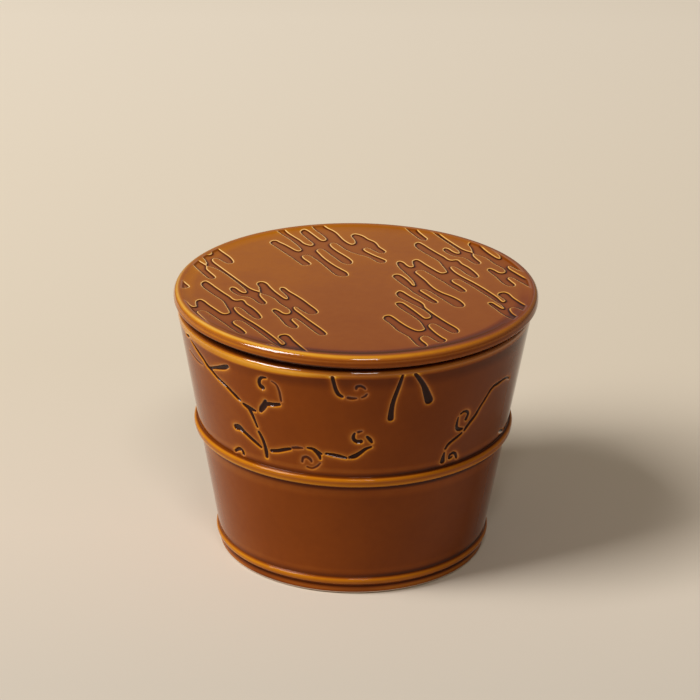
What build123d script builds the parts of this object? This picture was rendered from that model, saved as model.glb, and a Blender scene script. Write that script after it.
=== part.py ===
from build123d import *
import math
import os

# A lidded jar of glazed stoneware in the form of a small hooped wooden tub.
# Millimetres, +Z up, origin at the middle of the foot ring's flat underside.
# Two pieces of fired clay: the jar, and the flat lid that lies on its rim.
# Both are turned from half sections, walked from the axis outwards and back.

# Jar wall, a straight taper outside and inside
jar_height = 127.8
foot_radius = 66.1          # outside of the wall's taper, at the table
rim_radius = 88.0           # outside of the wall's taper, at the rim
rim_width = 5.7             # thickness of the wall at the mouth
lower_wall = 7.0            # thickness of the wall where it meets the floor
floor_thickness = 7.5
floor_corner = 13.0         # inside radius between the floor and the wall
rim_outer_round = 2.6
rim_inner_bevel = 1.1

# Foot ring under the jar
foot_ring_width = 6.5
foot_recess = 3.6           # hollow under the floor, so that only the ring stands
foot_ring_lean = 1.2        # how far the inside of the ring leans in towards the floor
foot_edge = 0.9             # small bevel on both edges of the ring

# Raised bands, thrown in one with the wall: height of the middle above the table,
# width along the wall, how far they stand proud of it, and how their edges are broken
hoop_height = 65.8
hoop_width = 5.3
hoop_proud = 2.3
hoop_top_round = 1.6
hoop_low_bevel = 0.9
base_band_height = 7.5
base_band_width = 4.1
base_band_proud = 1.6
base_band_top_round = 1.1
base_band_low_bevel = 0.9
band_draft = 0.4            # how far both sides of a band lean in
base_groove_height = 4.6    # line cut under the base band
base_groove_width = 1.4
base_groove_depth = 0.5

# Lid
lid_overhang = 2.0          # how far the lid reaches past the jar's wall at the rim
lid_edge = 6.3              # height of the edge, up to the crest of the bead round its top
lid_step = 2.0              # the edge clears the rim by this, so the seat stands below it
lid_step_lean = 0.6
lid_seat_inset = 2.7        # the seat ends this far inside the rim's outside
lid_top_round = 2.6
lid_bottom_round = 2.1
lid_bead_width = 1.4        # from the round of the edge to where the top starts to sink
lid_dish_depth = 0.7
lid_dish_slope = 5.2        # how far the top takes to sink
lid_hollow = 2.6            # relief of the underside within the flange

# Locating flange under the lid
flange_clearance = 1.4      # between the flange and the mouth, all round
flange_width = 4.5
flange_depth = 8.5
flange_edge = 1.2

# Number of flats that make up each round
round_count = 3
edge_count = 2
corner_count = 3

wall_lean = math.atan2(rim_radius - foot_radius, jar_height)
floor_top = foot_recess + floor_thickness
mouth_radius = rim_radius - rim_width
lid_radius = rim_radius + lid_overhang


def wall_outside(height):
    """Radius of the outer taper at a height above the table."""
    return foot_radius + (rim_radius - foot_radius) * height / jar_height


floor_radius = wall_outside(floor_top) - lower_wall


def wall_inside(height):
    """Radius of the inner taper, from the floor up to the rim."""
    share = (height - floor_top) / (jar_height - floor_top)
    return floor_radius + (mouth_radius - floor_radius) * share


def on_wall(height, along, proud):
    """Point beside the outer wall: along it from a height, and proud of it."""
    return (
        wall_outside(height) + along * math.sin(wall_lean) + proud * math.cos(wall_lean),
        height + along * math.cos(wall_lean) - proud * math.sin(wall_lean),
    )


def rounded(before, corner, after, radius, flats):
    """Corner of an outline turned into an arc of short flats."""
    corner, before, after = Vector(*corner), Vector(*before), Vector(*after)
    back = (before - corner).normalized()
    ahead = (after - corner).normalized()
    half_angle = math.radians(back.get_angle(ahead)) / 2
    middle = corner + (back + ahead).normalized() * (radius / math.sin(half_angle))
    first = corner + back * (radius / math.tan(half_angle)) - middle
    last = corner + ahead * (radius / math.tan(half_angle)) - middle
    sweep = math.pi - 2 * half_angle
    points = []
    for step in range(flats + 1):
        share = step / flats
        point = middle + (first * math.sin((1 - share) * sweep)
                          + last * math.sin(share * sweep)) / math.sin(sweep)
        points.append((point.X, point.Y))
    return points


def band_points(height, width, proud, low_bevel, top_round):
    """Raised band on the wall, bevelled below and rounded above, walked upwards."""
    half = width / 2
    foot = on_wall(height, -half, 0)
    low_edge = on_wall(height, band_draft - half, proud)
    top_edge = on_wall(height, half - band_draft, proud)
    head = on_wall(height, half, 0)
    return [
        foot,
        *rounded(foot, low_edge, top_edge, low_bevel, 1),
        *rounded(low_edge, top_edge, head, top_round, edge_count),
        head,
    ]


def turned(outline):
    """Solid of revolution from a closed half section of radius and height."""
    face = make_face(Polyline(*outline, close=True).edges())
    return revolve(Plane.XZ * face, axis=Axis.Z)


def make_jar():
    foot_inner = foot_radius - foot_ring_width
    under = (foot_inner - foot_ring_lean, foot_recess)
    rim_outside = (rim_radius, jar_height)
    rim_inside = (mouth_radius, jar_height)
    floor_edge = (floor_radius, floor_top)
    centre = (0, floor_top)
    half_groove = base_groove_width / 2
    return turned([
        (0, foot_recess),
        under,
        *rounded(under, (foot_inner, 0), (foot_radius, 0), foot_edge, 1),
        *rounded((foot_inner, 0), (foot_radius, 0), rim_outside, foot_edge, 1),
        on_wall(base_groove_height, -half_groove, 0),
        on_wall(base_groove_height, 0, -base_groove_depth),
        on_wall(base_groove_height, half_groove, 0),
        *band_points(base_band_height, base_band_width, base_band_proud,
                     base_band_low_bevel, base_band_top_round),
        *band_points(hoop_height, hoop_width, hoop_proud, hoop_low_bevel, hoop_top_round),
        *rounded((foot_radius, 0), rim_outside, rim_inside, rim_outer_round, round_count),
        *rounded(rim_outside, rim_inside, floor_edge, rim_inner_bevel, 1),
        *rounded(rim_inside, floor_edge, centre, floor_corner, corner_count),
        centre,
    ])


def make_lid():
    seat = jar_height
    underside = seat + lid_step
    top = underside + lid_edge
    sunk = top - lid_dish_depth
    seat_outer = rim_radius - lid_seat_inset
    bead_inner = lid_radius - lid_top_round - lid_bead_width
    flange_low = seat - flange_depth
    flange_root = wall_inside(seat) - flange_clearance
    flange_outer = wall_inside(flange_low) - flange_clearance
    flange_inner = flange_outer - flange_width
    relief = (flange_inner, seat + lid_hollow)
    inner_foot = (flange_inner, flange_low)
    outer_foot = (flange_outer, flange_low)
    root = (flange_root, seat)
    step_top = (seat_outer + lid_step_lean, underside)
    low_edge = (lid_radius, underside)
    high_edge = (lid_radius, top)
    bead = (bead_inner, top)
    return turned([
        (0, seat + lid_hollow),
        relief,
        *rounded(relief, inner_foot, outer_foot, flange_edge, 1),
        *rounded(inner_foot, outer_foot, root, flange_edge, 1),
        root,
        (seat_outer, seat),
        step_top,
        *rounded(step_top, low_edge, high_edge, lid_bottom_round, edge_count),
        *rounded(low_edge, high_edge, bead, lid_top_round, round_count),
        bead,
        (bead_inner - lid_dish_slope, sunk),
        (0, sunk),
    ])


pieces = {"jar": make_jar(), "lid": make_lid()}

os.makedirs("parts", exist_ok=True)
for name, piece in pieces.items():
    piece.label = name
    export_step(piece, f"parts/{name}.step")
    size = piece.bounding_box().size
    print(f"{name}: {piece.volume / 1000:.1f} cm3, {size.X:.1f} x {size.Y:.1f} x {size.Z:.1f} mm")
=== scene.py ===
import bmesh
import bpy
import math
from mathutils import Matrix, Vector
from mathutils.kdtree import KDTree


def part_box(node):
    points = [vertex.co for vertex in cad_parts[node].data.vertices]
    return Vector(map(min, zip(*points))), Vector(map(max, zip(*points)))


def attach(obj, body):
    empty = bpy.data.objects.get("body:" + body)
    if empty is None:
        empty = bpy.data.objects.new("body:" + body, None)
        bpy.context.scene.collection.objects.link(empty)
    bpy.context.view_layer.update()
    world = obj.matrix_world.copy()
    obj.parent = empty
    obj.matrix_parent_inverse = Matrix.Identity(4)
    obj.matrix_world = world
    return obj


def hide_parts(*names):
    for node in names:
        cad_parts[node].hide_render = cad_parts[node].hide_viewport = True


# A lidded jar of amber glazed stoneware, shaped like a small hooped tub.
# Shapes are worked out in millimetres in the frame of the CAD model and scaled to metres
# at the end. Radius and height stand for a point of a turned section.

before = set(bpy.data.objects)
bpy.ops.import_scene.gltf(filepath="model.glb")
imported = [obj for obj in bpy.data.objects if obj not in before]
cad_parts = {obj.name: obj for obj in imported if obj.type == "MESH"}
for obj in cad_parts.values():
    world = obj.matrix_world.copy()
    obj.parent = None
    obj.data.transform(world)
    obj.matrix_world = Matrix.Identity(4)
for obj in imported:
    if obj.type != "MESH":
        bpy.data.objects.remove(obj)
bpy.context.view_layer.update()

mm = 0.001
_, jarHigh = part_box("jar")
_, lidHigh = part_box("lid")
seatHeight = jarHigh.z / mm      # the lid lies on the rim here
lidTop = lidHigh.z / mm
lidRadius = lidHigh.x / mm
print("frame loaded: %s, seat at %.1f mm, lid %.1f mm across"
      % (" and ".join(sorted(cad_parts)), seatHeight, 2 * lidRadius))


def ease(x, low, high):
    # 0 up to low, 1 from high on, with a soft step between
    share = min(max((x - low) / (high - low), 0), 1)
    return share * share * (3 - 2 * share)


def between(points, x):
    # value at x on the straight lines through points
    for (start, low), (end, high) in zip(points, points[1:]):
        if x <= end:
            return low + (high - low) * max(x - start, 0) / (end - start)
    return points[-1][1]


def throughPoints(points, closed, spacing):
    # smooth curve through drawn points, sampled about every spacing
    points = [Vector(p) for p in points]
    if closed:
        row = points[-1:] + points + points[:2]
    else:
        row = points[:1] + points + points[-1:]
    curve = []
    for before, start, end, after in zip(row, row[1:], row[2:], row[3:]):
        steps = max(1, round((end - start).length / spacing))
        for step in range(steps):
            t = step / steps
            bend = 2 * before - 5 * start + 4 * end - after
            twist = 3 * start - before - 3 * end + after
            curve.append((2 * start + (end - before) * t + bend * t ** 2 + twist * t ** 3) / 2)
    if not closed:
        curve.append(points[-1])
    return curve


# Turned bodies: the section is drawn as corners, each corner is rounded with a bevel,
# long runs are cut, and the section is spun round the axis.

turning = {
    "steps": 192,       # round the axis
    "longestRun": 2.6,  # along the section, away from the rounds
    "roundSteps": 7,
    "mergeWithin": 1e-4,
}

# What every vertex carries: glaze is twice the depth of the glaze, so 1 in the open field, bare
# is 1 on unglazed clay, carved is the distance inwards from the nearest carved edge, cut is how
# deep that carving goes from 0 to 1, and gloss is the weight of the clear coat
vertLayers = ("glaze", "bare", "carved", "cut", "gloss")

carvedStart = -3    # carved is held at this, where the glaze outside a cut is even again
uncarved = -9       # carved on the sides without carving


def spinSection(corners):
    # corners: radius, height, length taken off by the round, glaze, bare clay
    bm = bmesh.new()
    layers = {name: bm.verts.layers.float.new(name) for name in vertLayers}
    points = []
    for radius, height, cut, glaze, bare in corners:
        vert = bm.verts.new((radius, 0, height))
        vert[layers["glaze"]] = glaze
        vert[layers["bare"]] = bare
        vert[layers["cut"]] = 1
        points.append((vert, cut))
    for (vert, _), (following, _) in zip(points, points[1:]):
        bm.edges.new((vert, following))
    for vert, cut in points:
        if cut:
            bmesh.ops.bevel(bm, geom=[vert], offset=cut, offset_type="OFFSET", profile=0.5,
                            segments=turning["roundSteps"], affect="VERTICES", material=-1)
    for edge in bm.edges[:]:
        cuts = math.ceil(edge.calc_length() / turning["longestRun"]) - 1
        if cuts > 0:
            bmesh.ops.subdivide_edges(bm, edges=[edge], cuts=cuts)
    bmesh.ops.spin(bm, geom=bm.verts[:] + bm.edges[:], cent=(0, 0, 0), axis=(0, 0, 1),
                   dvec=(0, 0, 0), angle=2 * math.pi, steps=turning["steps"],
                   use_merge=True, use_duplicate=False)
    bmesh.ops.remove_doubles(bm, verts=bm.verts[:], dist=turning["mergeWithin"])
    bmesh.ops.recalc_face_normals(bm, faces=bm.faces[:])
    return bm, layers


def refineNear(bm, layer, edgeDistance, passes):
    # finer cells near the carving: each pass gives reach from its edge and longest cell
    for vert in bm.verts:
        vert[layer] = edgeDistance(vert.co)
    for reach, cell in passes:
        near = [edge for edge in bm.edges
                if edge.calc_length() > cell and min(abs(v[layer]) for v in edge.verts) < reach]
        made = bmesh.ops.subdivide_edges(bm, edges=near, cuts=1, use_grid_fill=True)
        for vert in made["geom_inner"]:
            if isinstance(vert, bmesh.types.BMVert):
                vert[layer] = edgeDistance(vert.co)
    many = [face for face in bm.faces if len(face.verts) > 4]
    bmesh.ops.triangulate(bm, faces=many, ngon_method="BEAUTY")


def finishPiece(name, bm, material):
    bmesh.ops.scale(bm, vec=(mm, mm, mm), verts=bm.verts[:])
    for face in bm.faces:
        face.smooth = True
    mesh = bpy.data.meshes.new(name)
    bm.to_mesh(mesh)
    bm.free()
    mesh.materials.append(material)
    piece = bpy.data.objects.new(name, mesh)
    bpy.context.scene.collection.objects.link(piece)
    mesh.calc_loop_triangles()
    print("%s: %d triangles" % (name, len(mesh.loop_triangles)))
    return piece


# Shader maths as plain expressions

class Wire:
    def __init__(self, tree, socket):
        self.tree = tree
        self.socket = socket

    def maths(self, operation, first, second):
        return addNode(self.tree, "ShaderNodeMath", {"operation": operation},
                       {0: first, 1: second})[0]

    def __add__(self, other):
        return self.maths("ADD", self, other)

    def __radd__(self, other):
        return self.maths("ADD", other, self)

    def __sub__(self, other):
        return self.maths("SUBTRACT", self, other)

    def __rsub__(self, other):
        return self.maths("SUBTRACT", other, self)

    def __mul__(self, other):
        return self.maths("MULTIPLY", self, other)

    def __rmul__(self, other):
        return self.maths("MULTIPLY", other, self)

    def __truediv__(self, other):
        return self.maths("DIVIDE", self, other)

    def __rtruediv__(self, other):
        return self.maths("DIVIDE", other, self)


def addNode(tree, kind, settings, inputs):
    node = tree.nodes.new(kind)
    for key, value in settings.items():
        if key == "stops":
            stops = node.color_ramp.elements
            while len(stops) < len(value):
                stops.new(1)
            for stop, (position, colour) in zip(stops, value):
                stop.position = position
                stop.color = (*colour, 1)
        else:
            setattr(node, key, value)
    for key, value in inputs.items():
        if isinstance(value, Wire):
            tree.links.new(value.socket, node.inputs[key])
        else:
            node.inputs[key].default_value = value
    return [Wire(tree, socket) for socket in node.outputs]


def greyStops(points, low, high):
    # stops of a ramp that turns a measure into a grey value
    return [((x - low) / (high - low), (value, value, value)) for x, value in points]


# The glaze: depth 0 is thin and golden, 0.5 the open field, and at 1 it pools nearly black

glazeColours = [
    (0.00, (0.95, 0.62, 0.26)),
    (0.06, (0.82, 0.47, 0.12)),
    (0.13, (0.68, 0.335, 0.040)),
    (0.24, (0.56, 0.225, 0.010)),
    (0.38, (0.41, 0.125, 0.003)),
    (0.50, (0.296, 0.082, 0.008)),
    (0.63, (0.205, 0.043, 0.002)),
    (0.74, (0.135, 0.026, 0.001)),
    (0.87, (0.064, 0.013, 0.002)),
    (1.00, (0.026, 0.008, 0.005)),
]

finish = {
    "ior": 1.22,
    "coatIor": 1.5,
    "coatRoughness": 0.06,
    "roughness": 0.08,
    "coatSetsIn": (10, 25),         # degrees of slope over which a round turns glassy
    "coatEnds": (75, 88),
    "thinLine": 0.25,               # a glassy line runs this far outside a carved edge, in mm
    "thinLineFades": (0.2, 0.5),    # and fades between these distances from its middle
    "mottleScale": 28,
    "mottle": 0.1,
    "fineMottleScale": 260,
    "fineMottle": 0.04,
    "rippleScale": 120,
    "ripple": 0.25,
    "rippleHeight": 0.00022,        # in metres
    "clay": (0.74, 0.60, 0.47),
    "clayShade": 0.8,               # the darkest grains against the palest
    "clayGrainScale": 900,
    "clayRoughness": 0.8,
}


def onRound(climb):
    # the glaze is glassy on an upward round: climb is the slope of its normal in degrees
    return ease(climb, *finish["coatSetsIn"]) * (1 - ease(climb, *finish["coatEnds"]))


def onThinLine(inwards):
    # and on the thin line just outside a carved edge
    return 1 - ease(abs(inwards + finish["thinLine"]), *finish["thinLineFades"])


def glazedClay(name, carvedGlaze):
    # carvedGlaze: distance inwards from a carved edge in mm and depth of the glaze there
    material = bpy.data.materials.new(name)
    material.use_nodes = True
    tree = material.node_tree
    shader = tree.nodes["Principled BSDF"]

    def node(kind, settings=None, inputs=None):
        return addNode(tree, kind, settings or {}, inputs or {})

    place = node("ShaderNodeTexCoord")[3]   # Object
    glaze, bare, carved, cut, gloss = (
        node("ShaderNodeAttribute", {"attribute_name": layer})[2] for layer in vertLayers)

    def noise(scale, detail):
        return node("ShaderNodeTexNoise", {},
                    {"Vector": place, "Scale": scale, "Detail": detail})[0]

    low, high = carvedGlaze[0][0], carvedGlaze[-1][0]
    atEdge = node("ShaderNodeValToRGB", {"stops": greyStops(carvedGlaze, low, high)},
                  {0: (carved - low) / (high - low)})[0]
    broad = noise(finish["mottleScale"], 3) - 0.5
    fine = noise(finish["fineMottleScale"], 2) - 0.5
    depth = (atEdge - 0.5) * cut + glaze * 0.5
    depth = depth + broad * finish["mottle"] + fine * finish["fineMottle"]
    colour = node("ShaderNodeValToRGB", {"stops": glazeColours}, {0: depth})[0]
    shaded = tuple(finish["clayShade"] * c for c in finish["clay"])
    clayTone = node("ShaderNodeValToRGB", {"stops": [(0.3, shaded), (0.7, finish["clay"])]},
                    {0: noise(finish["clayGrainScale"], 4)})[0]
    bareHere = node("ShaderNodeMapRange", {"interpolation_type": "SMOOTHSTEP"},
                    {0: bare, 1: 0.35, 2: 0.65})[0]
    mixed = node("ShaderNodeMix", {"data_type": "RGBA"}, {0: bareHere, 6: colour, 7: clayTone})[2]
    rough = finish["roughness"] + bareHere * (finish["clayRoughness"] - finish["roughness"])
    bump = node("ShaderNodeBump", {}, {
        "Strength": finish["ripple"], "Distance": finish["rippleHeight"],
        "Height": noise(finish["rippleScale"], 2)})[0]
    tree.links.new(mixed.socket, shader.inputs["Base Color"])
    tree.links.new(gloss.socket, shader.inputs["Coat Weight"])
    tree.links.new(rough.socket, shader.inputs["Roughness"])
    tree.links.new(bump.socket, shader.inputs["Normal"])
    shader.inputs["IOR"].default_value = finish["ior"]
    shader.inputs["Coat IOR"].default_value = finish["coatIor"]
    shader.inputs["Coat Roughness"].default_value = finish["coatRoughness"]
    return material


# Lid: a flat disc with a golden bead round its top and mist bands cut into it

lid = {
    "edgeHeight": 6.3,
    "edgeRound": 2.6,
    "lowRound": 2.1,
    "topEnds": 87.3,        # radius where the top goes over into the round of the edge
    "restsRight": 0.6,      # it lies this far to the right, within the play of its flange
    "thinnerLeft": 0.8,     # the underside of the edge is this much higher on the left
    "thinnerFrom": 85.6,    # the edge is drawn up outside this radius
    "thinnerUpTo": 2.6,     # and up to this height over its underside
    "sunk": 0.7,            # the top lies this much under the bead
    "recess": 0.5,          # depth of the mist bands
    "recessEdge": (-0.32, 0.55),      # the side of a band goes down between these distances
    "bandsEnd": 86.0,       # radius where the bead closes the bands
    "bandsFade": (84.6, 86),          # and the radii between which they get shallow
    "finerNear": [(3.6, 1.7), (1.7, 0.85), (0.75, 0.43)],
    "drawnScale": (0.9946, 1.0134),   # from the drawing of the bands to the lid's top
    "drawnShift": (-0.5, 1.1),
    "sampleEvery": 0.35,
    "repeat": (106.3, 57.0),          # the same motif returns this far right and back
    "poolsAndShadeToward": (0.34, -0.94),       # the glaze is painted darker this way: partly thicker glaze, partly painted shade and painted reflection
    "rimShadedMost": 75,      # azimuth from the front where the golden round is painted least thin and darkest, painted shade
    "flangeOut": 80.9,
    "flangeIn": 74.9,
    "flangeDepth": 8.5,
    "flangeTaper": 1.4,
    "hollow": 2.6,
}
lidUnder = lidTop - lid["edgeHeight"]
roundLow = lidTop - lid["edgeRound"]
roundMiddle = Vector((lidRadius - lid["edgeRound"], roundLow))

# Outlines of the mist bands on the lid, right and back of its middle in mm, as drawn
mistBands = {
    "rightComb": [
        (32.3, 60.9), (34.5, 58.5), (38, 52.5), (42, 46), (45, 41.5), (47, 37.8), (49, 36.6),
        (51.5, 37.2), (52.7, 35.5), (54, 32), (57, 27.5), (59.7, 22), (61.5, 17), (61.6, 14.8),
        (60, 13.6), (58, 15.5), (55.5, 19.5), (53.5, 23.5), (51.5, 26.8), (49.5, 28.3), (48, 27),
        (50, 21), (53.5, 15), (58.5, 8), (63, 1), (66.5, -5), (70, -11.5), (72, -16.5),
        (73.3, -17.3), (74, -15), (72, -11), (70.8, -8.5), (71.6, -6), (74, -5), (76, -7),
        (78, -12), (81, -18), (84, -24.5), (84.7, -28.5), (83.5, -31), (82, -29.5), (80, -26),
        (78, -24.3), (76.3, -24.6), (75.5, -27), (76.5, -32), (78.5, -37), (80, -41), (79.3, -43),
        (76, -39.5), (72, -33), (69, -27), (66.5, -22), (65.6, -19.2), (67.3, -18.6), (69.5, -22),
        (71.7, -25.5), (73, -25.3), (71.7, -21), (69, -16.5), (66, -11), (62.5, -5), (59, 1),
        (56, 6), (53, 10.3), (50.5, 11.9), (48.3, 10.2), (49, 7), (52, 2.5), (54.5, -2.3),
        (54.7, -4.6), (53, -5.4), (51, -3.5), (47.5, 2), (44, 8), (40.5, 13.5), (37, 19),
        (34.7, 22.3), (32, 23), (30.2, 20.5), (32, 16), (35, 9.5), (37, 4), (39.5, -1.5),
        (43, -6.5), (47.5, -11), (51, -15.5), (53.3, -20.5), (53.4, -23.5), (51.5, -25.1),
        (49, -24), (46, -19.5), (42.5, -13.5), (39.5, -8.5), (36.7, -4.2), (34.3, -2.3),
        (32.2, -3.6), (33.5, -6.5), (35.5, -9.7), (38, -14), (40.2, -17.5), (40.4, -19.4),
        (38.9, -20.1), (36, -17), (32.5, -12), (29, -6.5), (26.5, -1.5), (23.5, 4), (20.5, 10),
        (19, 14), (20, 16.5), (22.3, 16.3), (25, 12), (27.2, 7), (28.6, 3), (29.9, 2.9),
        (29.2, 8), (27, 14.5), (24.5, 20.5), (22, 27), (21.2, 32), (22.4, 34.4), (24.3, 32.8),
        (26, 29), (27.8, 27), (29.6, 28), (29.3, 31.5), (29.3, 35), (31, 37), (33, 35),
        (35.5, 30.5), (39, 25), (42, 20.5), (44, 19.3), (46.1, 20.8), (45.7, 24), (44.3, 29),
        (42.7, 34.5), (41, 38), (38, 42.5), (34.5, 48), (31.5, 53.5), (30.6, 58),
    ],
    "longBranch": [
        (-47, -9.3), (-46.9, -13), (-45.3, -17.5), (-43.6, -21.5), (-43.8, -23.6), (-45.5, -24.2),
        (-47.8, -21.5), (-49.8, -17.8), (-52.3, -15.2), (-55.5, -14.2), (-58, -12.2), (-60.3, -9),
        (-61.7, -5.5), (-61, -3), (-59.3, -3.8), (-57.3, -7.3), (-55.3, -9.6), (-53.7, -9.6),
        (-53.6, -7.3), (-55, -3.5), (-57.8, 2), (-61, 8), (-64, 13.3), (-67, 18), (-70, 21.8),
        (-73, 24.2), (-75, 25.5), (-75, 29), (-76.5, 33.5), (-80, 38.5), (-84, 44), (-82, 60),
        (-76, 56), (-74, 52), (-71, 48), (-67, 42.5), (-63.8, 37), (-62, 32), (-62.2, 29.5),
        (-64, 28.6), (-66.5, 31), (-69, 34.5), (-71, 35.7), (-72.7, 34), (-72, 30.5), (-69, 25),
        (-65, 18), (-60, 9.3), (-55.5, 1.5), (-52.5, -3.5), (-50, -6.3), (-48, -7.8),
    ],
    "shortComb": [
        (-46.8, -9), (-47, -5.5), (-47.6, -1.5), (-48.6, 1.5), (-48, 4), (-46, 4.6), (-44, 2.5),
        (-42, -2.5), (-39.5, -8), (-36.5, -13.5), (-34.5, -16.5), (-33.1, -16.9), (-33.2, -14),
        (-35, -9.5), (-36.8, -5.5), (-36.6, -2.8), (-35, -3), (-32.5, -7.5), (-29, -12.5),
        (-25.5, -18), (-22, -24.5), (-19, -30), (-18, -33.5), (-19.5, -35.8), (-22, -35.8),
        (-24.5, -33), (-26.8, -29.5), (-28.5, -27), (-29.8, -27.3), (-29.2, -30.5), (-26.5, -35.5),
        (-23, -42), (-19.5, -48), (-16, -54), (-13.6, -59), (-14, -61.3), (-16.3, -61.5),
        (-18.5, -58.5), (-21.5, -53), (-24.5, -47.5), (-27.5, -42.5), (-29.3, -41.2), (-30.5, -43),
        (-29, -47), (-27.3, -51), (-28, -53.3), (-30, -53.3), (-32.5, -50.5), (-34.5, -46),
        (-36.5, -40.5), (-39, -35), (-40, -32), (-39, -30.2), (-37, -32), (-35, -35), (-33, -36),
        (-31.3, -34.5), (-31.5, -31), (-33.5, -27.5), (-36.5, -23), (-39, -17.5), (-41.5, -14),
        (-44.5, -11.5), (-46, -10.3),
    ],
    "sideTongue": [
        (-75.3, 25), (-75, 21), (-73.5, 17.5), (-71, 12.5), (-70, 10), (-70.8, 8), (-72.8, 8.3),
        (-75, 12), (-78, 18), (-81, 23.5), (-84, 28.5), (-89, 37), (-86, 41), (-82, 33.2),
        (-79, 29.8), (-76.7, 27.3),
    ],
    "leftDot": [
        (-93, 6), (-87, 4.2), (-84.4, 0.5), (-82.6, -2.4), (-82.9, -4.4), (-86, -6.4), (-93, -7),
    ],
    "frontComb": [
        (21.8, -5.2), (23.5, -6), (26, -10), (29, -14.5), (32, -18.7), (33.6, -22), (34.3, -26),
        (37, -31.5), (41, -38.5), (45, -45), (48.7, -50.5), (50, -54), (49.3, -56.5), (47, -56.8),
        (44.5, -54), (41.5, -49.5), (39, -46.3), (36.8, -45.8), (35.6, -48.5), (37, -53),
        (39.5, -58.5), (41.8, -62.5), (43.6, -65.3), (42.6, -68.2), (40.5, -68.6), (38, -65.5),
        (35.5, -61.8), (33, -60.7), (31.3, -63.5), (32.2, -67), (34, -70.5), (34.3, -73.3),
        (32, -74.3), (29.5, -71.5), (27.8, -67), (25.8, -62), (23, -58), (20.3, -54), (18.3, -49),
        (16, -44.5), (14.2, -41), (14.5, -37.5), (16.8, -36.3), (19, -39), (22, -44.5),
        (25.5, -50), (29, -54), (31.5, -54.8), (33.7, -52.8), (33.2, -49), (31.5, -43),
        (28.5, -37), (25, -31.5), (21.8, -26), (20.2, -21.5), (21.3, -19.7), (23.5, -20.5),
        (26.5, -25.5), (29.5, -31), (32, -36), (34, -39.3), (36.3, -38.8), (37, -36),
        (35.3, -31.5), (32, -26), (28, -21), (24, -16), (21.3, -12), (20.5, -8.5),
    ],
    "backComb": [
        (-42.5, 84), (-39.3, 78.8), (-36, 73), (-32.5, 67.5), (-29, 62), (-27, 58), (-25, 55.8),
        (-22.8, 54.8), (-21.5, 57), (-23.3, 61.5), (-26, 67), (-28, 71.5), (-28.4, 74.5),
        (-26.8, 76.6), (-24.8, 75), (-22.3, 70.5), (-20, 66), (-18, 62.5), (-16, 61.8), (-15, 64),
        (-16, 67.5), (-18.5, 72.5), (-21.3, 77.5), (-23.2, 82), (-22.3, 85.5), (-20.3, 86),
        (-18, 83), (-15, 79.3), (-12, 76), (-10, 72.5), (-8.3, 68), (-6.3, 63), (-3.8, 58.7),
        (-1.8, 57), (-0.2, 58.5), (0, 61.5), (-1, 65.5), (-2, 69), (-0.8, 71.6), (1.5, 71),
        (4, 68.5), (6.3, 64.7), (9.5, 61), (11, 57.5), (12, 54), (14, 50.5), (15.3, 47.8),
        (14.5, 45.7), (12.5, 45.5), (10.3, 48), (8, 51.2), (5.5, 52.7), (4, 51), (4.8, 48.3),
        (7, 45.2), (10, 41.5), (13.3, 38), (15.3, 35.5), (15, 33), (13, 32), (11, 33.5),
        (8.8, 37), (6, 40.3), (2, 43), (-2, 46.3), (-5, 50), (-7.5, 54.5), (-9.7, 58),
        (-11.8, 59), (-13.3, 57), (-12.3, 53), (-9.5, 47.5), (-6, 42), (-3.3, 37.5), (-1.7, 33.5),
        (-2.2, 30.3), (-4.3, 29.8), (-7, 32.3), (-9.5, 37), (-12.5, 42.5), (-15, 47.5),
        (-17, 50.2), (-18.8, 50.3), (-20, 47.8), (-18.5, 43.5), (-16.5, 38.5), (-14, 33.5),
        (-10.5, 27.5), (-7, 22.5), (-4.3, 18.5), (-3.7, 14.7), (-6, 13), (-9, 14.5), (-11.5, 18.5),
        (-14.3, 24.5), (-17.3, 31), (-20.5, 37), (-23, 40.7), (-25.3, 41.7), (-27.2, 40),
        (-26.3, 36.5), (-24, 32.5), (-22.7, 29.5), (-24, 27.8), (-26.3, 27.5), (-28.2, 30.5),
        (-31.5, 36.5), (-35, 42.5), (-38.5, 48.5), (-41.5, 53.5), (-43.7, 57.5), (-43, 60.5),
        (-41, 61), (-39, 58.5), (-36, 55), (-33.5, 51.5), (-31, 48), (-29, 46.8), (-27.6, 48.5),
        (-28.5, 52), (-31, 57.5), (-34, 63.5), (-37.5, 69), (-41, 73.5), (-43.8, 76.5), (-48, 81),
    ],
}
mistIsland = [(-81, 47), (-78.5, 43), (-77.7, 40), (-75.3, 38.4), (-73.2, 40), (-73.3, 43),
              (-75.5, 47.5), (-79, 52)]   # left standing in the long branch
repeatedBands = {"rightComb": -1, "longBranch": 1, "shortComb": 1, "sideTongue": 1}

# Distance inwards from the edge of a band and depth of the glaze there
mistGlaze = [
    (carvedStart, 0.5), (-1.0, 0.47), (-0.66, 0.4), (-0.46, 0.1), (-0.24, -0.01), (-0.06, 0.25),
    (0.1, 0.82), (0.38, 1.0), (0.65, 0.84), (1.0, 0.66), (1.5, 0.57), (3, 0.54),
]


def bandSamples(outline, inside):
    # samples along an outline, each with the direction that leads into the band
    (wide, deep), shift = lid["drawnScale"], lid["drawnShift"]
    placed = [(x * wide + shift[0], y * deep + shift[1]) for x, y in outline]
    curve = throughPoints(placed, True, lid["sampleEvery"])
    area = sum(a.cross(b) for a, b in zip(curve, curve[1:] + curve[:1]))
    turn = 1 if (area > 0) == inside else -1
    samples = []
    for i, point in enumerate(curve):
        along = (curve[(i + 1) % len(curve)] - curve[i - 1]).normalized()
        samples.append((point, Vector((-along.y, along.x)) * turn))
    return samples


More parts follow.
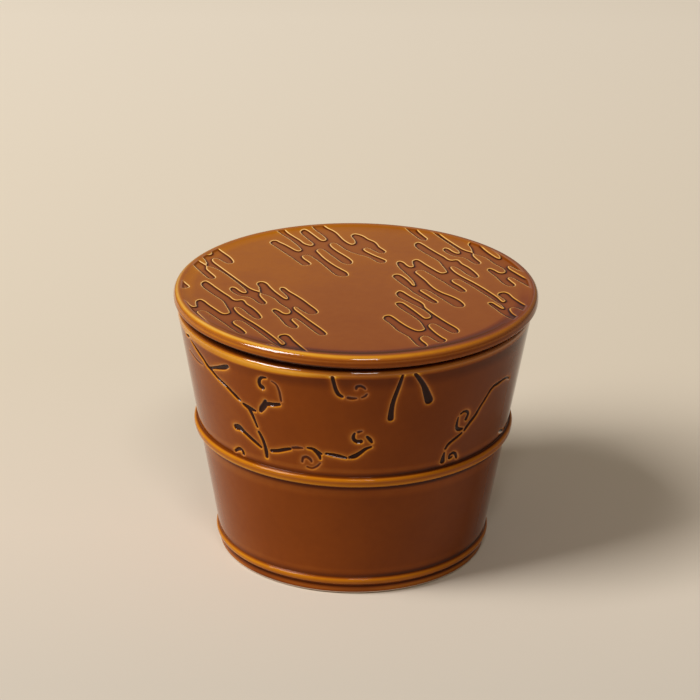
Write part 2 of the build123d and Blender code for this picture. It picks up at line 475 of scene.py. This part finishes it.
def mistDistance():
    # distance inwards from the edge of the nearest band, for a point of the lid's top
    shift = Vector(lid["repeat"])
    samples = bandSamples(mistIsland, False)
    for name, outline in mistBands.items():
        samples += bandSamples(outline, True)
        if name in repeatedBands:
            samples += [(p + shift * repeatedBands[name], inward)
                        for p, inward in bandSamples(outline, True)]
    reach = lid["bandsEnd"] - carvedStart
    samples = [(p, inward) for p, inward in samples if p.length < reach]
    tree = KDTree(len(samples))
    for i, (point, _) in enumerate(samples):
        tree.insert((point.x, point.y, 0), i)
    tree.balance()

    def distance(co):
        flat = Vector((co.x, co.y))
        _, index, gap = tree.find((co.x, co.y, 0))
        point, inward = samples[index]
        side = (flat - point).dot(inward)
        inside = side if gap < 1 else math.copysign(gap, side)   # close by, side is smoother
        return min(inside, lid["bandsEnd"] - flat.length)

    return distance


def edgeGlaze(co, climb):
    # how deep the glaze lies on the lid's round, 0 thin to 1 pooled: a thin golden line runs
    # along it, and climb is the slope of the round's normal in degrees
    left, back = -co.x / co.xy.length, co.y / co.xy.length
    shade = math.radians(lid["rimShadedMost"])
    # painted light and shade: the round is painted paler on the left, where the light falls, and
    # darker towards the right
    side = 0.61 - 0.13 * ease(left, 0.05, 0.75)     # below the line
    top = 0.5 + 0.12 * ease(-left, 0.4, 0.8)        # above it
    around = side + (top - side) * ease(climb, 30, 80)
    thin = 0.15 - 0.06 * ease(left, 0.3, 0.75)
    thin += 0.28 * max(-left * math.sin(shade) - back * math.cos(shade), 0)
    # the line ends at these slopes, and fades towards the back
    wider = 14 * ease(left, -0.2, 0.4) * (1 - ease(left, 0.8, 0.92)) - 8 * ease(-left, 0.3, 0.8)
    lower = 16 * ease(left, 0, 0.5)
    share = ease(climb, 102 + wider, 64 + wider) * ease(climb, 12 + lower, 56 + lower)
    return around + (thin - around) * share * (1 - 0.6 * ease(back, 0.1, 0.8))


def onTop(co):
    return co.z > lidTop - 2 and co.xy.length < lid["topEnds"]


def glazeLid(vert, layers):
    # where the glaze of the lid lies thinner or thicker than its section says
    radius = vert.co.xy.length
    left = -vert.co.x / max(radius, 1)
    height = vert.co.z - lidUnder
    glaze = layers["glaze"]
    if onTop(vert.co) and radius > 1:
        # the top is painted darker towards the front right, partly thicker glaze and partly
        # painted shade and painted reflection; a ring inside the bead is painted darkest at the
        # front, painted shade, and lighter at the left back, painted light
        towardsShade = vert.co.xy.dot(Vector(lid["poolsAndShadeToward"])) / radius
        fade = 84.6 + 1.2 * ease(-left, 0.4, 0.8) - 0.2 * ease(left, -0.2, 0.4)
        ring = ease(radius, 78.5, 82.5) * (1 - ease(radius, fade, fade + 2))
        ring *= 0.44 * ease(towardsShade, 0.25, 0.95) - 0.22 * ease(-towardsShade, -0.2, 0.4) * max(left, 0)
        vert[glaze] += ring + 0.16 * towardsShade * radius / 90
    elif radius > 87 and vert.co.z > roundLow:
        climb = math.degrees(math.atan2(vert.co.z - roundMiddle.y, radius - roundMiddle.x))
        vert[glaze] = 2 * edgeGlaze(vert.co, climb)
        vert[layers["gloss"]] = onRound(climb)
    elif radius > 86.5 and height > -0.1:
        # the low round is painted lighter on the left, painted light, and near black along its
        # underside on the left, painted shade
        vert[glaze] -= 0.32 * ease(left, 0.05, 0.75) * ease(height, 0.8, 1.6)
        higher = ease(left, 0.4, 0.7)
        poolsAndShade = 1 - ease(height, 0.6 + 0.4 * higher, 1.45 + 0.3 * higher)
        vert[glaze] += 1.3 * ease(left, -0.15, 0.3) * poolsAndShade


def shapeLid(vert, layers):
    # the edge drawn up on the left, and the mist bands sunk into the top
    radius = vert.co.xy.length
    height = vert.co.z - lidUnder
    carved, cut = layers["carved"], layers["cut"]
    if radius > lid["thinnerFrom"] and -0.1 < height < lid["thinnerUpTo"]:
        lift = lid["thinnerLeft"] * ease(-vert.co.x / radius, 0.1, 0.7)
        vert.co.z += lift * (1 - height / lid["thinnerUpTo"])
    if vert[carved] > carvedStart:
        vert[cut] = 1 - 0.9 * ease(radius, *lid["bandsFade"])
        vert[layers["gloss"]] = onThinLine(vert[carved])
        vert.co.z -= lid["recess"] * ease(vert[carved], *lid["recessEdge"]) * vert[cut]
    vert[carved] = max(vert[carved], carvedStart)


def lidSection():
    seat, edge, under = seatHeight, lidRadius, lidUnder
    sunk = lidTop - lid["sunk"]
    outer, inner = lid["flangeOut"], lid["flangeIn"]
    flangeLow = seat - lid["flangeDepth"]
    roof = seat + lid["hollow"]
    return [
        (0, sunk, 0, 1, 0),
        (79, sunk, 0, 1, 0),
        (82.2, lidTop - 0.55, 0, 1.05, 0),
        (84.2, lidTop - 0.3, 1, 1.05, 0),
        (85.4, lidTop - 0.06, 0.4, 1, 0),
        (86.3, lidTop - 0.01, 0.3, 1, 0),
        (edge, lidTop, lid["edgeRound"], 1, 0),
        (edge, under + 3.2, 0, 1.22, 0),
        (edge, under + 2.4, 0, 1.38, 0),
        (edge, under, lid["lowRound"], 1.2, 0),
        # the underside inside the edge and the step down to the seat are painted near black glaze:
        # painted shade in the gap over the rim
        (86.8, under, 0, 1.9, 0),
        (86.0, under, 0.4, 1.95, 0),
        (85.3, seat, 0.3, 1.95, 0),
        (85.0, seat, 0, 1.9, 1),
        (outer, seat, 0.5, 1, 1),
        (outer - lid["flangeTaper"], flangeLow, 1.2, 1, 1),
        (inner, flangeLow, 1.2, 1, 1),
        (inner, flangeLow + 1.8, 0, 1, 1),
        (inner, flangeLow + 2.2, 0, 0.8, 0),
        (inner, roof, 1.8, 1.5, 0),
        (70, roof, 0, 1.2, 0),
        (0, roof, 0, 1.1, 0),
    ]


def makeLid():
    bm, layers = spinSection(lidSection())
    distance = mistDistance()

    def carvedHere(co):
        return distance(co) if onTop(co) else uncarved

    refineNear(bm, layers["carved"], carvedHere, lid["finerNear"])
    for vert in bm.verts:
        glazeLid(vert, layers)
        shapeLid(vert, layers)
    bmesh.ops.translate(bm, vec=(lid["restsRight"], 0, 0), verts=bm.verts[:])
    piece = finishPiece("carved_lid", bm, glazedClay("amberGlazeLid", mistGlaze))
    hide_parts("lid")
    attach(piece, "lid_body")


# Jar: a tapered tub with one hoop, a base band and a vine scroll cut above the hoop

jar = {
    "footRadius": 66.1,
    "rimRadius": 88.0,
    "mouthRadius": 82.3,
    "floorRadius": 61.0,
    "floorTop": 11.1,
    "underside": 3.6,
    "ringInside": 59.6,
    "rimRound": 3.0,        # radius of the rim's outer round
    "rimBevel": 2.6,        # the bevel that makes it, because the wall leans
    "outerGlazeFrom": 84.5,           # radius on the rim where the outside's glaze begins
    "skin": 1.5,            # what lies less deep than this in the wall is its outside
    "rimDip": 0.7,          # the outside of the rim lies this much lower on the left
    "dipHeights": (118, 125),         # the dip grows between these heights and these radii
    "dipRadii": (84.6, 86.2),
    "grooveDepth": 0.9,
    "grooveEdge": (-0.55, 0.75),      # the side of a stroke goes down between these distances
    "grooveGloss": 0.5,     # clear coat on the thin line beside a stroke
    "scrollHeights": (69, 125.3),
    "finerNear": [(4.5, 1.7), (2.2, 0.85), (1.2, 0.43)],
    "unroll": 80.0,         # the scroll is drawn on the wall unrolled at this radius
    "drawnScale": (0.9936, 0.9907),   # from the drawing of the scroll to the wall
    "drawnLift": -0.56,
    "sampleEvery": 0.3,
    "strokeSpread": 0.3,    # the strokes are cut this much wider than drawn
    "faintCut": 0.55,       # how deep the faint strokes are cut, the others are 1
}

# Strokes of the scroll: along the wall from the front and up from the table in mm, and width
vineStrokes = [
    [(-91.8, 122.9, 1.0), (-88.6, 121.1, 1.7), (-84.8, 119, 1.8), (-81.1, 117, 1.6),
     (-78.8, 115, 2), (-76.1, 113.7, 1.6), (-73.9, 112.5, 1.5), (-70.6, 110.6, 1.4),
     (-65.6, 108.5, 1.5), (-61.7, 106.2, 1.6), (-58.8, 104.4, 1.6), (-57, 103.3, 1.0)],
    [(-76.3, 114.1, 1.2), (-72.5, 115.8, 1.2), (-68.5, 117.4, 1.8), (-64.6, 119.1, 2.3),
     (-62.3, 120.4, 1.6)],
    [(-98.1, 123.7, 0.9), (-95.7, 124.2, 1.4), (-93.5, 125.1, 0.8)],
    [(-55.2, 101.8, 1.2), (-52, 100.7, 2.2), (-48.4, 100.1, 1.0)],
    [(-52, 100.2, 1.8), (-50.6, 97.5, 1.7), (-49.5, 94.5, 1.2), (-48.3, 91, 0.9)],
    [(-47.7, 88.2, 1.3), (-46, 84.7, 1.6), (-45, 81, 1.6), (-44.6, 78, 1.9), (-44.6, 75, 1.4)],
    [(-62.6, 86.4, 2.8), (-60, 86.9, 3), (-57, 85.3, 1.9), (-53, 83, 1.8), (-50, 81.3, 1.6),
     (-47.5, 79.7, 1.1)],
    [(-66, 71.6, 1.0), (-63.8, 73.3, 1.6), (-61.8, 74.1, 1.6), (-60.3, 73.4, 1.6), (-60, 72, 1.3)],
    [(-40.5, 120.8, 0.7), (-42.5, 120.4, 1.2), (-43.9, 118.9, 1.5), (-44.3, 117, 1.6),
     (-43.8, 115.4, 2), (-42.7, 114.8, 2.2)],
    [(-45.3, 100.9, 1.6), (-44.2, 102.8, 2.7), (-42.7, 105, 2.7), (-42, 107.4, 1.4)],
    [(-42.4, 105.6, 2.4), (-40, 106.2, 1.9), (-37.5, 106.5, 1.8), (-34.8, 107.2, 1.4)],
    [(-41.4, 79.3, 1.5), (-38, 80.1, 1.6), (-34, 81.7, 1.6), (-31, 82.8, 1.3)],
    [(-21.8, 84.9, 0.8), (-19.2, 84.6, 1.4), (-17.2, 83.1, 1.9), (-15.2, 82.3, 0.9)],
    [(-17.3, 82.9, 1.6), (-16.2, 81, 1.4), (-15.8, 79.3, 0.7)],
    [(-12.8, 82.7, 1.0), (-9, 82.2, 1.6), (-6, 81.6, 1.6), (-3.2, 80.9, 1.1)],
    [(-1.4, 81.2, 1.3), (1, 82, 2.2), (3.5, 83.8, 1.8), (6, 86, 1.4), (8.7, 87.2, 0.8)],
    [(6.7, 93, 1.1), (8, 91.5, 1.6), (9, 89.8, 0.9)],
    [(0.8, 95, 0.8), (0.2, 93.2, 1.4), (0.6, 91.4, 1.5), (2, 90.4, 1.8), (3.7, 90.4, 1.9)],
    [(-9.2, 126.3, 1.5), (-8.6, 123, 1.5), (-7.8, 119.5, 1.6), (-6.6, 116.9, 1.6),
     (-5, 115.7, 1.2)],
    [(21.6, 126.8, 1.1), (20.5, 122, 1.5), (19.2, 117, 1.7), (18, 112, 1.9), (17.4, 107, 2.3),
     (17.3, 103, 2.8)],
    [(27.4, 126.5, 1.4), (29.5, 123.5, 1.9), (31.8, 119.5, 2.3), (33.6, 115, 3.3),
     (35.2, 110.6, 4)],
    [(91.1, 104.7, 0.5), (87.4, 106.3, 0.8), (83.4, 106.8, 1), (79.6, 106.5, 1.2),
     (76.2, 106.5, 1.4), (73.7, 105.3, 1.4), (71.8, 103.3, 1.4), (69.8, 100.8, 1.4),
     (67.3, 97.8, 1.4), (64.9, 94.2, 1.7), (61.9, 91.4, 1.8), (59.6, 88.9, 1.6),
     (58.7, 87.5, 1)],
    [(57, 86.3, 1.0), (54.5, 85, 1.4), (51.5, 83.5, 1.4), (49.3, 82, 1.4), (48, 80, 1.0)],
    [(47.7, 77.5, 0.9), (47.4, 75.5, 1.6), (47.3, 73, 2.5)],
    [(57, 88.8, 1.0), (55.3, 89, 1.7), (53.7, 89.8, 1.6), (53, 91.5, 1.4), (53, 94, 1.1),
     (53.2, 96.3, 0.6)],
    [(54.5, 98, 0.7), (56.2, 98.8, 1), (58.2, 98.3, 1.2), (59.3, 96.5, 1.3), (58.5, 94, 1.7)],
    [(53, 74, 0.8), (51.5, 73.6, 1.0), (51.3, 75.2, 1.2), (53, 76.2, 1.2), (54.8, 75.3, 1.2),
     (55.8, 73.5, 1.2), (56.2, 72.5, 0.8)],
    [(93.2, 73.7, 0.7), (96.9, 72.5, 1.1), (100.4, 71.5, 0.8)],
]
faintStrokes = [
    [(-97.5, 114.9, 0.5), (-94.1, 114.4, 0.8), (-90.5, 113.6, 0.9), (-86.9, 113.2, 0.9),
     (-83.5, 113.3, 0.6)],
    [(-37.5, 119.5, 0.5), (-35.3, 118, 0.8), (-34.2, 115, 1.0), (-33.8, 112, 1.0),
     (-33.6, 109.5, 0.9)],
    [(-29.4, 83.7, 1.2), (-27, 84.2, 1.4), (-24.5, 84.4, 0.7)],
    [(-15.8, 77, 0.5), (-17.5, 75, 0.8), (-20, 73.5, 0.8), (-22.5, 73.9, 0.8)],
    [(-25, 76.5, 0.8), (-24.4, 78.8, 1.2), (-22.5, 79.6, 1.4), (-20.7, 78.4, 1.3),
     (-20.2, 77.2, 0.7)],
    [(-2.3, 115.2, 1.3), (-0.5, 114.9, 1.3), (1.3, 115, 0.7)],
    [(3.8, 115.4, 0.6), (5.2, 116.2, 0.9), (6, 117.3, 0.6)],
    [(1.2, 120.3, 0.9), (1.5, 121.5, 1.3), (3, 121.9, 1.2), (4.6, 121, 0.9), (5.2, 120.2, 0.6)],
    [(4, 96.3, 0.7), (2.6, 95.9, 1.2)],
]

# Distance inwards from the edge of a stroke and depth of the glaze there
vineGlaze = [
    (carvedStart, 0.5), (-2.0, 0.46), (-1.2, 0.4), (-0.7, 0.3), (-0.42, 0.18), (-0.2, 0.16),
    (-0.05, 0.36), (0.1, 0.72), (0.35, 0.9), (3, 0.95),
]

# Height above the table and depth of the glaze there, up to the belt under the rim; the dark lines
# above and below the hoop and in the groove of the base band are partly pooled glaze and partly
# painted shade, and the thin light line at the hoop's lower edge is partly a painted reflection of
# the table
glazeUpWall = [
    (1, 0.73), (1.8, 0.62), (2.6, 0.54), (3.3, 0.55), (3.9, 0.76), (4.5, 0.76), (5.2, 0.66),
    (5.5, 0.54), (6.3, 0.45), (7.6, 0.4), (8.7, 0.35), (9.2, 0.6), (9.5, 0.78), (10.6, 0.76),
    (12, 0.64), (13, 0.6), (15, 0.645), (57, 0.65), (59.5, 0.47), (61, 0.65), (62, 0.8),
    (63, 0.8), (63.4, 0.5), (64, 0.33), (64.7, 0.27), (65.4, 0.52), (66.2, 0.5), (67.2, 0.38),
    (67.8, 0.33), (68.1, 0.4), (68.4, 0.78), (69.4, 0.78), (70.3, 0.68), (71.2, 0.57),
    (72.4, 0.57), (74, 0.64), (117, 0.645),
]


def wallRadius(height):
    return jar["footRadius"] + (jar["rimRadius"] - jar["footRadius"]) * height / seatHeight


def vineDistance():
    # distance inwards from the edge of the nearest stroke, for a point of the outer wall
    samples = []
    wide, high = jar["drawnScale"]
    for stroke in vineStrokes + faintStrokes:
        strength = jar["faintCut"] if stroke in faintStrokes else 1
        for along, drawnHeight, width in throughPoints(stroke, False, jar["sampleEvery"]):
            turn = along * wide / jar["unroll"]
            height = drawnHeight * high + jar["drawnLift"]
            radius = wallRadius(height)
            for half in (0, math.pi):   # the same strokes again on the far side
                place = (radius * math.sin(turn + half), -radius * math.cos(turn + half), height)
                samples.append((place, (width + jar["strokeSpread"]) / 2, strength))
    tree = KDTree(len(samples))
    for i, sample in enumerate(samples):
        tree.insert(sample[0], i)
    tree.balance()

    def distance(co):
        # a wide stroke's edge can be nearer than the middle of a thin one
        return max(samples[index][1] - gap for _, index, gap in tree.find_n(co, 8))

    def strength(co):
        return samples[tree.find(co)[1]][2]

    return distance, strength


def wallGlaze(co):
    # how deep the glaze lies on the outside of the wall, 0 thin to 1 pooled
    left = -co.x / co.xy.length
    farLeft = ease(left, 0.65, 0.85)
    drop = seatHeight - co.z
    beltEnds = 11
    openWall = glazeUpWall[-1][1]
    # painted shade and light: the glaze is painted darker on the right and lighter on the left,
    # where the light falls
    paintedSideShade = 0.015 + 0.055 * max(-left, 0) - 0.05 * ease(left, 0.3, 0.8)
    if drop > beltEnds:
        depth = between(glazeUpWall, co.z)
        poolsAndShade = max(depth - openWall, 0)     # pools, partly painted shade, and painted darker towards the right as painted shade
        higher = 1.2 * ease(left, 0, 0.3)
        atFoot = 0.15 * ease(left, 0.3, 0.8) - 0.14 * ease(-left, 0, 0.35)
        atFoot *= 1 - ease(co.z, 3 + higher, 3.8 + higher)
        atFoot -= 0.35 * farLeft * (1 - ease(co.z, 1.8, 2.6))
        atFoot -= 0.16 * farLeft * ease(co.z, 4.1, 4.8) * (1 - ease(co.z, 6.6, 7.4))
        return depth + paintedSideShade + atFoot + 0.6 * poolsAndShade * ease(-left, -0.1, 0.5)
    # down from the top of the rim: a pool, partly painted shade under the lid's edge, the thin
    # golden round, then the dark belt; the top is painted lighter away from the left, painted
    # light, and the golden round is painted paler on the left, where the light falls, painted
    # light
    top = -0.1 * (1 - ease(left, 0, 0.6))
    soon = 1 - 0.5 * ease(left, 0.1, 0.6)     # it gets thin sooner on the left
    thin = 0.4 - 0.22 * ease(left, -0.08, 0.3) + 0.08 * ease(left, 0.6, 0.8)
    reach = 3.2 + 1.2 * ease(left, 0, 0.75)
    belt = 0.75 - 0.07 * ease(left, 0.35, 0.7) + paintedSideShade
    return between([(0, 0.87 + top), (0.4 * soon, 0.66 + top), (0.65 * soon, 0.58 + top),
                    (1.15 * soon, 0.52 + top / 2), (1.8 * soon, thin + 0.05),
                    (2.3, thin), (reach, thin + 0.08), (reach + 1, belt), (reach + 3.5, belt),
                    (beltEnds, openWall + paintedSideShade)], drop)


def onOutside(co):
    # on the outer side of the wall, or of the bare line on the rim
    if co.z > seatHeight - 0.1:
        return co.xy.length > jar["outerGlazeFrom"]
    return co.xy.length > wallRadius(co.z) - jar["skin"]


def jarSection():
    def wall(height, proud=0, cut=0, bare=0):
        return (wallRadius(height) + proud, height, cut, 1, bare)   # wallGlaze glazes it later

    def plainWall(*heights):
        return [wall(height) for height in heights]

    rim, ring, underside = seatHeight, jar["ringInside"], jar["underside"]
    return [
        (0, jar["floorTop"], 0, 1.3, 0),
        (40, jar["floorTop"], 0, 1.35, 0),
        (jar["floorRadius"], jar["floorTop"], 8, 1.5, 0),
        (64.5, 30, 0, 1.25, 0),
        (81.7, rim - 6, 0, 1.15, 0),
        (jar["mouthRadius"], rim, 1.2, 0.5, 0),
        (83.6, rim, 0, 0.9, 0),
        (83.8, rim, 0, 0.9, 1),
        (84.4, rim, 0, 0.9, 1),
        (84.6, rim, 0, 1.9, 0),
        (jar["rimRadius"], rim, jar["rimBevel"], 1, 0),
        *plainWall(124.2, 123.4, 122.6, 121.8, 121, 119.5, 74, 72.4, 71.2, 70.3, 69.4),
        wall(68.5, 0, 0.4),
        wall(68.0, 2.15, 1.4),
        wall(66.2, 2.35),
        wall(64.6, 2.3),
        wall(63.75, 2.1, 0.8),
        wall(63.15, 0, 0.4),
        *plainWall(62, 60.4, 15, 12, 10.6),
        wall(9.4, 0, 0.5),
        wall(8.8, 1.35, 1.0),
        wall(7.4, 1.6, 0.5),
        wall(6.1, 1.4, 0.7),
        wall(5.5, 0, 0.2),
        wall(4.6, -0.5, 0.4),
        wall(3.9, 0, 0.3),
        wall(2.7, 0.25),
        wall(2.1, 0.5),
        wall(1.5, 0.7),
        wall(1.27, 0.68),
        wall(1.16, 0.62, 0, 1),
        wall(0.8, 0.6, 0.1, 1),
        (jar["footRadius"] - 1.2, 0, 0.1, 1, 1),
        (ring, 0, 0.6, 1, 1),
        (ring - 0.9, 2.9, 0, 1, 1),
        (ring - 1.2, underside, 0.4, 1.6, 0),
        (50, underside, 0, 1.3, 0),
        (0, underside, 0, 1.25, 0),
    ]


def makeJar():
    bm, layers = spinSection(jarSection())
    carved = layers["carved"]
    distance, strength = vineDistance()
    rim = seatHeight
    middle = Vector((jar["rimRadius"], rim)) - Vector((jar["rimRound"], jar["rimRound"]))

    def carvedHere(co):
        lowest, highest = jar["scrollHeights"]
        return distance(co) if onOutside(co) and lowest < co.z < highest else uncarved

    refineNear(bm, carved, carvedHere, jar["finerNear"])
    for vert in bm.verts:
        if onOutside(vert.co):
            vert[layers["glaze"]] = 2 * wallGlaze(vert.co)
            if vert.co.z > middle.y:
                slope = math.atan2(vert.co.z - middle.y, vert.co.xy.length - middle.x)
                vert[layers["gloss"]] = onRound(math.degrees(slope))
        if vert[carved] > carvedStart:
            outward = vert.co.xy.normalized()
            cut = strength(vert.co)
            vert[layers["cut"]] = cut
            if vert.co.z < rim - 5:     # higher up the rim's round sets the gloss
                vert[layers["gloss"]] = jar["grooveGloss"] * onThinLine(vert[carved])
            depth = ease(vert[carved], *jar["grooveEdge"])
            vert.co.xy -= outward * jar["grooveDepth"] * cut * depth
        if vert.co.z > jar["dipHeights"][0]:
            radius = vert.co.xy.length
            sag = jar["rimDip"] * ease(-vert.co.x / radius, 0, 0.5)
            vert.co.z -= sag * ease(vert.co.z, *jar["dipHeights"]) * ease(radius, *jar["dipRadii"])
        vert[carved] = max(vert[carved], carvedStart)
    piece = finishPiece("carved_jar", bm, glazedClay("amberGlazeJar", vineGlaze))
    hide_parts("jar")
    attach(piece, "jar_body")


# Plain table, soft studio light and the camera

studio = {
    "tableSize": 30.0,
    "tableRoughness": 0.9,
    "tableShine": 0.1,
    # distance back from the jar in metres and colour: painted light, the table is painted darker
    # in front of the jar and paler further back
    "tablePaintedLight": [(-0.16, (0.60, 0.53, 0.44)), (0.0, (0.69, 0.595, 0.483)),
                     (0.22, (0.715, 0.62, 0.49)), (0.53, (0.80, 0.70, 0.56)),
                     (0.9, (0.90, 0.80, 0.66))],
    "world": (1.0, 0.85, 0.62),
    "worldStrength": 0.165,
    # azimuth from the front towards the right, elevation, width and height, watts and colour
    "lamps": {
        "keyBox": (-65.6, 45.6, (1.58, 2.05), 172, (1, 1, 1)),
        "frontBox": (8, 49, (0.9, 0.6), 31, (1, 1, 1)),
        "backBox": (180, 24, (2.4, 1.6), 2.3, (0.55, 0.62, 1.0)),
    },
    "lampDistance": 4.0,
    "lampAim": 0.07,        # they face this height over the table
}

camera = {
    "lens": 154.286,
    "sensor": 36,
    "clipEnd": 100,
    "distance": 1.5069,
    "elevation": 24.205,
    "lookHeight": 0.070,
    "turnedRight": -0.077,
    "turnedUp": 1.108,
    "roll": 0.682,
}


def makeTable():
    bm = bmesh.new()
    bmesh.ops.create_grid(bm, x_segments=1, y_segments=1, size=studio["tableSize"] / 2)
    mesh = bpy.data.meshes.new("table")
    bm.to_mesh(mesh)
    bm.free()
    table = bpy.data.objects.new("table", mesh)
    bpy.context.scene.collection.objects.link(table)
    material = bpy.data.materials.new("paleTable")
    material.use_nodes = True
    tree = material.node_tree
    shader = tree.nodes["Principled BSDF"]
    place = addNode(tree, "ShaderNodeTexCoord", {}, {})[3]   # Object
    back = addNode(tree, "ShaderNodeSeparateXYZ", {}, {0: place})[1]
    near, far = studio["tablePaintedLight"][0][0], studio["tablePaintedLight"][-1][0]
    stops = [((y - near) / (far - near), colour) for y, colour in studio["tablePaintedLight"]]
    colour = addNode(tree, "ShaderNodeValToRGB", {"stops": stops},
                     {0: (back - near) / (far - near)})[0]
    tree.links.new(colour.socket, shader.inputs["Base Color"])
    shader.inputs["Roughness"].default_value = studio["tableRoughness"]
    shader.inputs["Specular IOR Level"].default_value = studio["tableShine"]
    mesh.materials.append(material)


def makeLamps():
    for name, (azimuth, elevation, size, watts, colour) in studio["lamps"].items():
        lamp = bpy.data.lights.new(name, "AREA")
        lamp.shape = "RECTANGLE"
        lamp.size, lamp.size_y = size
        lamp.energy = watts
        lamp.color = colour
        holder = bpy.data.objects.new(name, lamp)
        turn, lift = math.radians(azimuth), math.radians(elevation)
        way = Vector((math.sin(turn) * math.cos(lift), -math.cos(turn) * math.cos(lift),
                      math.sin(lift)))
        holder.location = way * studio["lampDistance"] + Vector((0, 0, studio["lampAim"]))
        holder.rotation_euler = way.to_track_quat("Z", "Y").to_euler()
        bpy.context.scene.collection.objects.link(holder)
    world = bpy.data.worlds.new("studioWorld")
    world.use_nodes = True
    background = world.node_tree.nodes["Background"]
    background.inputs["Color"].default_value = (*studio["world"], 1)
    background.inputs["Strength"].default_value = studio["worldStrength"]
    bpy.context.scene.world = world


def makeCamera():
    lift = math.radians(camera["elevation"])
    ahead = Vector((0, math.cos(lift), -math.sin(lift)))
    above = Vector((0, math.sin(lift), math.cos(lift)))
    turn, tilt, roll = (math.radians(camera[k]) for k in ("turnedRight", "turnedUp", "roll"))
    # turned away from the line to the jar, then rolled about its own view
    look = (ahead * math.cos(turn) + Vector((1, 0, 0)) * math.sin(turn)) * math.cos(tilt)
    look = (look + above * math.sin(tilt)).normalized()
    right = look.cross(Vector((0, 0, 1))).normalized()
    up = right.cross(look)
    right, up = (right * math.cos(roll) + up * math.sin(roll),
                 up * math.cos(roll) - right * math.sin(roll))
    lens = bpy.data.cameras.new("camera")
    lens.lens = camera["lens"]
    lens.sensor_width = camera["sensor"]
    lens.clip_end = camera["clipEnd"]
    view = bpy.data.objects.new("camera", lens)
    place = Vector((0, 0, camera["lookHeight"])) - ahead * camera["distance"]
    turned = Matrix((right, up, -look)).transposed().to_4x4()
    view.matrix_world = Matrix.Translation(place) @ turned
    bpy.context.scene.collection.objects.link(view)
    bpy.context.scene.camera = view


makeCamera()
makeTable()
makeLamps()
print("camera, table and lamps ready")
makeLid()
makeJar()
bpy.context.scene.view_settings.view_transform = "Standard"
